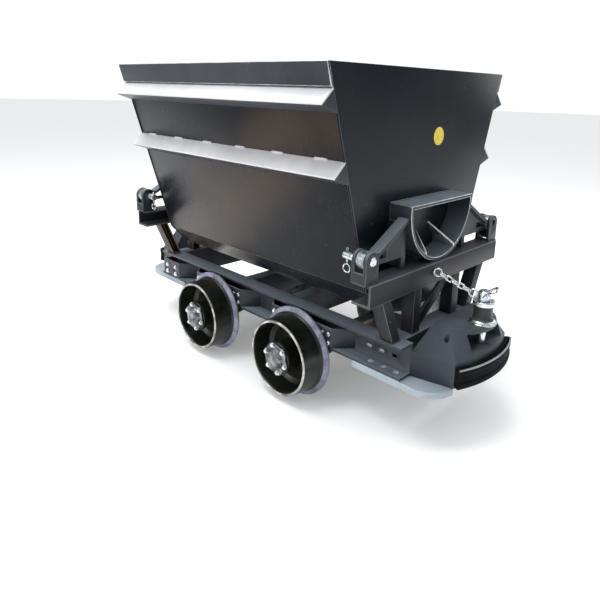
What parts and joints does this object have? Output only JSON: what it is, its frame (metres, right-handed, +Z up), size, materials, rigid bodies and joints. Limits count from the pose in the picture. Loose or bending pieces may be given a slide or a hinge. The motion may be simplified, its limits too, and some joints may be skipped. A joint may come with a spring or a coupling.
{
  "type": "mine cart",
  "caption": "Bucket-tipping mine cart: steel hopper with end rockers and pinned arms on a four-wheel narrow-gauge chassis with buffered drawheads.",
  "frame": {"origin": "centre of the cart on the plane through the lowest points of the wheel flanges", "axes": "+X along the track towards the end with the marker disc, +Y to the right side, +Z up"},
  "size_m": [1.91, 1.1072, 1.265],
  "materials": {
    "tub_paint": "semi-gloss charcoal enamel on rolled steel sheet",
    "rail_paint": "pale gloss enamel on the upper faces of the stiffener rails",
    "marker_yellow": "plain yellow marker disc",
    "chassis_paint": "semi-gloss charcoal enamel on rolled sections",
    "foot_plate_paint": "lighter blue-grey enamel, worn on top",
    "drawhead_paint": "satin charcoal enamel on a casting",
    "buffer_rubber": "moulded rubber buffer block",
    "wheel_iron": "gloss black painted cast wheel with a bare tread edge",
    "hub_cover_steel": "bare cover with bright bolt heads",
    "bearing_steel": "ground bearing steel",
    "axle_steel": "turned steel axle",
    "zinc_fasteners": "zinc plated bolts",
    "zinc_pins": "zinc plated lock pins",
    "coupling_steel": "zinc plated coupling pin and collar",
    "chain_zinc": "zinc plated chain"
  },
  "bodies": {
    "chassis": {"axle_far": "axle_steel", "axle_near": "axle_steel", "axle_nuts": "bearing_steel", "axle_pedestals": "chassis_paint", "buffer_pad_far": "buffer_rubber", "buffer_pad_near": "buffer_rubber", "chain_anchors": "chain_zinc", "clevises_far": "chassis_paint", "clevises_near": "chassis_paint", "drawhead_far": "drawhead_paint", "drawhead_near": "drawhead_paint", "end_members": "chassis_paint", "foot_plates": "foot_plate_paint", "hat_bolts": "zinc_fasteners", "hat_plates": "chassis_paint", "mid_members": "chassis_paint", "pin_collars": "coupling_steel", "sole_bar_left": "chassis_paint", "sole_bar_right": "chassis_paint", "stand_beam_far": "chassis_paint", "stand_beam_near": "chassis_paint", "stand_legs_far": "chassis_paint", "stand_legs_near": "chassis_paint"},
    "bail_far": {"bail_far": "coupling_steel"},
    "bail_near": {"bail_near": "coupling_steel"},
    "chain_far": {"chain_far": "chain_zinc"},
    "chain_near": {"chain_near": "chain_zinc"},
    "coupling_pin_far": {"coupling_pin_far": "coupling_steel"},
    "coupling_pin_near": {"coupling_pin_near": "coupling_steel"},
    "lock_pin_far_left": {"lock_pin_far_left": "zinc_pins"},
    "lock_pin_far_right": {"lock_pin_far_right": "zinc_pins"},
    "lock_pin_near_left": {"lock_pin_near_left": "zinc_pins"},
    "lock_pin_near_right": {"lock_pin_near_right": "zinc_pins"},
    "tub": {"arms_far": "tub_paint", "arms_near": "tub_paint", "belly_plate": "tub_paint", "end_plate_far": "tub_paint", "end_plate_near": "tub_paint", "lower_panels": "tub_paint", "marker_disc": "marker_yellow", "rail_backs": "tub_paint", "rail_tops": "rail_paint", "rim_bars": "tub_paint", "rocker_far": "tub_paint", "rocker_gussets": "tub_paint", "rocker_near": "tub_paint", "side_sheet_left": "tub_paint", "side_sheet_right": "tub_paint"},
    "wheel_far_left": {"bearings_far_left": "bearing_steel", "hub_cover_far_left": "hub_cover_steel", "wheel_far_left": "wheel_iron"},
    "wheel_far_right": {"bearings_far_right": "bearing_steel", "hub_cover_far_right": "hub_cover_steel", "wheel_far_right": "wheel_iron"},
    "wheel_near_left": {"bearings_near_left": "bearing_steel", "hub_cover_near_left": "hub_cover_steel", "wheel_near_left": "wheel_iron"},
    "wheel_near_right": {"bearings_near_right": "bearing_steel", "hub_cover_near_right": "hub_cover_steel", "wheel_near_right": "wheel_iron"}
  },
  "joints": [
    {"name": "tub_tip", "type": "hinge", "parent": "chassis", "child": "tub", "pos_m": [0, -0.4, 0.669], "axis": [1, 0, 0], "range_deg": [0, 112]},
    {"name": "near_left_wheel_spin", "type": "hinge", "parent": "chassis", "child": "wheel_near_left", "pos_m": [0.27, -0.34, 0.178], "axis": [0, 1, 0], "continuous": true},
    {"name": "near_right_wheel_spin", "type": "hinge", "parent": "chassis", "child": "wheel_near_right", "pos_m": [0.27, 0.34, 0.178], "axis": [0, 1, 0], "continuous": true},
    {"name": "far_left_wheel_spin", "type": "hinge", "parent": "chassis", "child": "wheel_far_left", "pos_m": [-0.27, -0.34, 0.178], "axis": [0, 1, 0], "continuous": true},
    {"name": "far_right_wheel_spin", "type": "hinge", "parent": "chassis", "child": "wheel_far_right", "pos_m": [-0.27, 0.34, 0.178], "axis": [0, 1, 0], "continuous": true},
    {"name": "near_left_pin_slide", "type": "slide", "parent": "chassis", "child": "lock_pin_near_left", "axis": [-1, 0, 0], "range_m": [0, 0.058]},
    {"name": "near_right_pin_slide", "type": "slide", "parent": "chassis", "child": "lock_pin_near_right", "axis": [1, 0, 0], "range_m": [0, 0.058]},
    {"name": "far_left_pin_slide", "type": "slide", "parent": "chassis", "child": "lock_pin_far_left", "axis": [1, 0, 0], "range_m": [0, 0.058]},
    {"name": "far_right_pin_slide", "type": "slide", "parent": "chassis", "child": "lock_pin_far_right", "axis": [-1, 0, 0], "range_m": [0, 0.058]},
    {"name": "near_coupler_lift", "type": "slide", "parent": "chassis", "child": "coupling_pin_near", "axis": [0, 0, 1], "range_m": [0, 0.1]},
    {"name": "near_bail_swing", "type": "hinge", "parent": "coupling_pin_near", "child": "bail_near", "pos_m": [0.885, 0, 0.5113], "axis": [0.3334, -0.9428, 0], "range_deg": [0, 95]},
    {"name": "near_chain_swing", "type": "hinge", "parent": "chassis", "child": "chain_near", "pos_m": [0.7295, -0.055, 0.566], "axis": [0.3334, -0.9428, 0], "range_deg": [0, 43.6]},
    {"name": "far_coupler_lift", "type": "slide", "parent": "chassis", "child": "coupling_pin_far", "axis": [0, 0, 1], "range_m": [0, 0.1]},
    {"name": "far_bail_swing", "type": "hinge", "parent": "coupling_pin_far", "child": "bail_far", "pos_m": [-0.885, 0, 0.5113], "axis": [-0.3334, 0.9428, 0], "range_deg": [0, 95]},
    {"name": "far_chain_swing", "type": "hinge", "parent": "chassis", "child": "chain_far", "pos_m": [-0.7295, 0.055, 0.566], "axis": [-0.3334, 0.9428, 0], "range_deg": [0, 43.6]}
  ],
  "couplings": [
    {"joint": "near_chain_swing", "follows": "near_coupler_lift", "rad_per_m": 7.5258},
    {"joint": "far_chain_swing", "follows": "far_coupler_lift", "rad_per_m": 7.5258}
  ]
}
